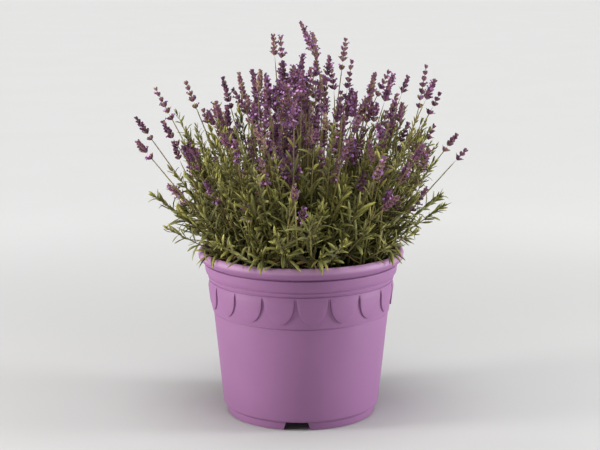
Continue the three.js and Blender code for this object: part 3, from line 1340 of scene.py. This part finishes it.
class LAVENDER_OT_flower_stems(bpy.types.Operator):
    """Make the outer flower stems, each where the part has it"""

    bl_idname = "lavender.flower_stems"
    bl_label = "Outer flower stems"

    def execute(self, context):
        plant = context.scene.lavender_plant
        materials = plant_materials(plant)
        nodes = sorted(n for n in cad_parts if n.startswith("flower_stem_"))
        for i, node in enumerate(nodes):
            rng = np.random.default_rng([plant.seed, 1, i])
            points = cad_points(node)
            tip, aim, head = head_of(points)
            line = Line(cad_foot(points), tip, head, aim)
            growth = Growth()
            openness = rng.choice([0.0, 0.1, 0.35], p=[0.45, 0.35, 0.2])
            tone = rng.uniform(0.2, 0.75)
            stray = rng.random() < 0.7
            grow_flower_stem(
                growth, line, head, plant, rng, openness, tone, stray, (0.4, 0.62)
            )
            obj = growth.piece(node.replace("flower_stem", "flowering_stem"), materials)
            settle(obj, obj.name, "flowers", node)
        return {"FINISHED"}


class LAVENDER_OT_leafy_shoots(bpy.types.Operator):
    """Make the outer leafy shoots, each where the part has it"""

    bl_idname = "lavender.leafy_shoots"
    bl_label = "Outer leafy shoots"

    def execute(self, context):
        plant = context.scene.lavender_plant
        materials = plant_materials(plant)
        nodes = sorted(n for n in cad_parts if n.startswith("leafy_shoot_"))
        for i, node in enumerate(nodes):
            rng = np.random.default_rng([plant.seed, 2, i])
            points = cad_points(node)
            foot = cad_foot(points)
            far = points[np.linalg.norm(points - foot, axis=1).argmax()]
            out = math.hypot(far[0], far[1]) > 120 * MM
            tip = foot + (far - foot) * (0.87 if out else 0.93)
            growth = Growth()
            grow_shoot(growth, Line(foot, tip), plant, rng, 0.5, 0.62 if out else 1.0)
            obj = growth.piece(node.replace("leafy_shoot", "leaf_shoot"), materials)
            settle(obj, obj.name, "leaves", node)
        return {"FINISHED"}


class LAVENDER_OT_inner_flower_stems(bpy.types.Operator):
    """Make the flower stems inside the outer ones, in groups by direction"""

    bl_idname = "lavender.inner_flower_stems"
    bl_label = "Inner flower stems"

    def execute(self, context):
        plant = context.scene.lavender_plant
        materials = plant_materials(plant)
        rng = np.random.default_rng([plant.seed, 3])
        stems = []
        # Shares of the stems in the crowded middle, and in the middle and the flanks together. The rest
        # are low ones. Lengths in the loop are in millimetres, and a dome bounds the heads from above.
        crowd, flank = 0.54, 0.91
        for i in range(plant.inner_stems):
            share = (i + 0.5) / plant.inner_stems
            if share < crowd:
                x, y = np.clip(rng.normal(-2, 42), -90, 95), rng.uniform(-100, 95)
                z = 476 - 0.0042 * (x * x + 0.7 * y * y) - 112 * rng.random()
                openness = rng.uniform(0.15, 0.65)
                head = rng.uniform(22, 38)
            else:
                head = rng.uniform(18, 30)
                angle = sideways_angle(rng)
                reach = rng.uniform(75, 172)
                x, y = reach * 1.05 * math.cos(angle), reach * 0.95 * math.sin(angle)
                if share < flank:
                    z = 450 - 0.0024 * reach * reach - 95 * rng.random() ** 1.6
                    openness = rng.choice([0.0, 0.12, 0.4])
                else:
                    z = rng.uniform(285, 345)
                    openness = rng.uniform(0.1, 0.6)
            stems.append((x * MM, y * MM, z * MM, head * MM, openness))
        stems.sort(key=lambda stem: math.atan2(stem[1], stem[0]))
        for number, mine in groups_of(stems, 8):
            growth = Growth()
            for x, y, z, head, openness in mine:
                # A quarter of the stems stand nearly upright, the others fan out.
                share = rng.uniform(*((0.7, 0.95) if rng.random() < 0.25 else (0.3, 0.5)))
                share = min(share, 106 * MM / math.hypot(x, y))
                line = inner_line((x, y, z), share, rng, head, 0.19)
                tone = rng.uniform(0.15, 0.72)
                in_crowd = math.hypot(x, y) < 80 * MM
                stray, faded, tall = rng.random(3) < (0.5, 0.06, 0.5)
                if faded:
                    tone, openness = 0.9, 0.0
                leafy = (0.8, 0.92) if tall and not in_crowd else (0.35, 0.6)
                grow_flower_stem(
                    growth, line, head, plant, rng, openness, tone, stray, leafy
                )
            obj = growth.piece(f"inner_flowering_stems_{number}", materials)
            settle(obj, obj.name, "flowers")
        return {"FINISHED"}


class LAVENDER_OT_inner_leafy_shoots(bpy.types.Operator):
    """Make the leafy shoots inside the outer ones, in groups by direction"""

    bl_idname = "lavender.inner_leafy_shoots"
    bl_label = "Inner leafy shoots"

    def execute(self, context):
        plant = context.scene.lavender_plant
        materials = plant_materials(plant)
        rng = np.random.default_rng([plant.seed, 4])
        shoots = []
        for i in range(plant.inner_shoots):
            angle = i * TURN * 0.618034 + rng.normal(0, 0.2)
            share = math.sqrt((i + 0.5) / plant.inner_shoots)
            reach = 158 * share * rng.uniform(0.9, 1.04)
            low = 236 + 1.2 * max(0.0, reach - 130)
            high = 325 - 20 * share**4
            z = low + (high - low) * rng.uniform(0, 1) ** 0.8
            size = 0.6 if rng.random() < 0.1 + 0.3 * share else 1.05
            shoots.append((angle, reach, z, size, 0.0, 0.25))
        # Thin small-leaved shoots that stand up among the flower stems.
        for _ in range(plant.thin_shoots):
            angle = sideways_angle(rng)
            reach = 172 * rng.uniform(0.4, 1.0) ** 0.6
            z = 330 - 0.0004 * reach * reach + 75 * rng.random()
            shoots.append((angle, reach, z, rng.uniform(0.4, 0.6), 0.0, 0.1))
        # A few that hang over the rim, and dry ones that lie against it.
        for degrees in (-112, -97, -80, -31, 12, 40, 95, 150, 214):
            shoots.append((math.radians(degrees), rng.uniform(124, 130), 231, 0.8, 1.1, 0.25))
        for degrees in (-155, -148, -139, 20, 75, 128):
            shoots.append((math.radians(degrees), rng.uniform(108, 116), 216, 0.7, 0.5, 0.9))
        shoots.sort(key=lambda shoot: (shoot[0] + math.pi) % TURN)
        for number, mine in groups_of(shoots, 12):
            growth = Growth()
            for angle, reach, z, size, droop, dry in mine:
                x, y = reach * 1.03 * math.cos(angle), reach * 0.98 * math.sin(angle)
                share = 0.8 if droop else rng.uniform(0.42, 0.6)
                line = inner_line((x * MM, y * MM, z * MM), share, rng)
                shade = rng.uniform(0.3, 0.6)
                grow_shoot(growth, line, plant, rng, shade, size, droop, dry)
                if droop > 1:
                    grow_hanging_leaves(growth, line, plant, rng)
            obj = growth.piece(f"inner_leaf_shoots_{number}", materials)
            settle(obj, obj.name, "leaves")
        return {"FINISHED"}


class LAVENDER_OT_stage(bpy.types.Operator):
    """Make the floor, the lights and the camera"""

    bl_idname = "lavender.stage"
    bl_label = "Stage"

    def execute(self, context):
        stage = context.scene.lavender_stage
        start_fresh()
        bpy.ops.mesh.primitive_circle_add(
            vertices=128, radius=30, fill_type="NGON", location=(0, 0, 0)
        )
        floor = context.object
        floor.name = "studio_floor"
        floor.data.materials.append(studio_paper(tuple(stage.floor)))

        # A pale wall all round under a dim ceiling.
        world = bpy.data.worlds.new("studio_room")
        world.use_nodes = True
        way = add_node(world, "TexCoord").outputs["Generated"]
        rise = add_node(world, "SeparateXYZ", {"Vector": way}).outputs["Z"]
        stops = [(0.1, linear("F4F4F4")), (0.3, (stage.ceiling,) * 3)]
        glow = add_node(world, "ValToRGB", {"Fac": rise}, stops).outputs["Color"]
        set_inputs(world.node_tree.nodes["Background"], {"Color": glow})
        context.scene.world = world

        def aimed(name, light, place, target):
            lamp = bpy.data.objects.new(name, light)
            context.scene.collection.objects.link(lamp)
            lamp.location = place
            aim = Vector(target) - Vector(place)
            lamp.rotation_euler = aim.to_track_quat("-Z", "Y").to_euler()
            lamp.visible_camera = False

        def softbox(name, turn, distance, height, size, power, colour):
            """A softbox round the pot, at an angle from the camera's side towards the right."""
            light = bpy.data.lights.new(name, "AREA")
            light.shape = "RECTANGLE"
            light.size, light.size_y = size
            light.energy = power
            light.color = colour
            light.spread = math.radians(80)
            turn = math.radians(turn)
            place = (distance * math.sin(turn), -distance * math.cos(turn), height)
            aimed(name, light, place, (0, 0, 0.25))

        softbox("left_softbox", -76, 1.5, 0.45, (0.4, 1.1), 5.7, (1.0, 0.965, 0.955))
        softbox("right_softbox", 86, 1.5, 0.45, (0.4, 1.1), 5.7, (0.965, 0.97, 1.0))
        sky = bpy.data.lights.new("top_light", "SUN")
        sky.energy = 2.4
        sky.angle = math.radians(40)
        aimed("top_light", sky, (0.0, -0.3, 2.0), (0, 0, 0))

        camera_data = bpy.data.cameras.new("camera")
        camera_data.lens = stage.lens
        camera_data.sensor_width = 36
        camera = bpy.data.objects.new("camera", camera_data)
        context.scene.collection.objects.link(camera)
        camera.location = (0, -stage.distance, stage.height)
        camera.rotation_euler = (math.pi / 2 - stage.pitch, 0, 0)
        camera_data.shift_x = -0.0017
        camera_data.clip_end = 40
        context.scene.camera = camera
        context.scene.view_settings.view_transform = "Standard"
        return {"FINISHED"}


class LAVENDER_PT_panel(bpy.types.Panel):
    """The pieces of the potted lavender and their settings"""

    bl_idname = "LAVENDER_PT_panel"
    bl_label = "Potted Lavender"
    bl_space_type = "VIEW_3D"
    bl_region_type = "UI"
    bl_category = "Lavender"

    def draw(self, context):
        for group in (
            context.scene.lavender_pot,
            context.scene.lavender_plant,
            context.scene.lavender_stage,
        ):
            box = self.layout.box()
            for name in group.bl_rna.properties.keys():
                if name not in ("rna_type", "name"):
                    box.prop(group, name)
        for operator in OPERATORS:
            self.layout.operator(operator.bl_idname)


OPERATORS = (
    LAVENDER_OT_pot,
    LAVENDER_OT_soil,
    LAVENDER_OT_leafy_shoots,
    LAVENDER_OT_inner_leafy_shoots,
    LAVENDER_OT_flower_stems,
    LAVENDER_OT_inner_flower_stems,
    LAVENDER_OT_stage,
)
GROUPS = {
    "lavender_pot": LavenderPot,
    "lavender_plant": LavenderPlant,
    "lavender_stage": LavenderStage,
}
CLASSES = (*GROUPS.values(), *OPERATORS, LAVENDER_PT_panel)


def register():
    for cls in CLASSES:
        bpy.utils.register_class(cls)
    for name, cls in GROUPS.items():
        setattr(bpy.types.Scene, name, bpy.props.PointerProperty(type=cls))


def unregister():
    for name in GROUPS:
        delattr(bpy.types.Scene, name)
    for cls in reversed(CLASSES):
        bpy.utils.unregister_class(cls)


def main():
    register()
    for operator in OPERATORS:
        group, name = operator.bl_idname.split(".")
        getattr(getattr(bpy.ops, group), name)()


if __name__ == "__main__":
    main()
